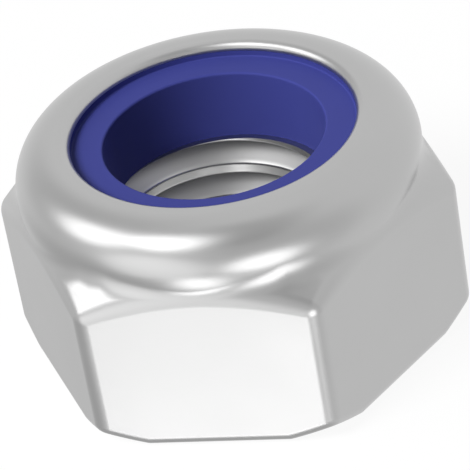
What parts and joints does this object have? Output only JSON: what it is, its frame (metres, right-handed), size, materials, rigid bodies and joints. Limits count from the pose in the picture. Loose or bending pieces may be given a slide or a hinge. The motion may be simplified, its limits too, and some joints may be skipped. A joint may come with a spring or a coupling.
{
  "type": "nylon insert lock nut",
  "caption": "Hexagonal steel lock nut with a rolled collar that holds a blue nylon ring, for a metric coarse screw thread.",
  "frame": {"origin": "centre of the bearing face, on the axis of the thread", "axes": "+Z along the axis of the thread, from the bearing face towards the collar; two flats face along Y and two corners point along X"},
  "size_m": [0.0148, 0.013, 0.0079],
  "materials": {
    "zinc_plated_steel": "bright zinc plating, satin, smooth with soft edges",
    "blue_nylon": "moulded blue polyamide, semi-gloss"
  },
  "bodies": {
    "root": {"nut_body": "zinc_plated_steel", "nylon_insert": "blue_nylon"}
  },
  "joints": []
}
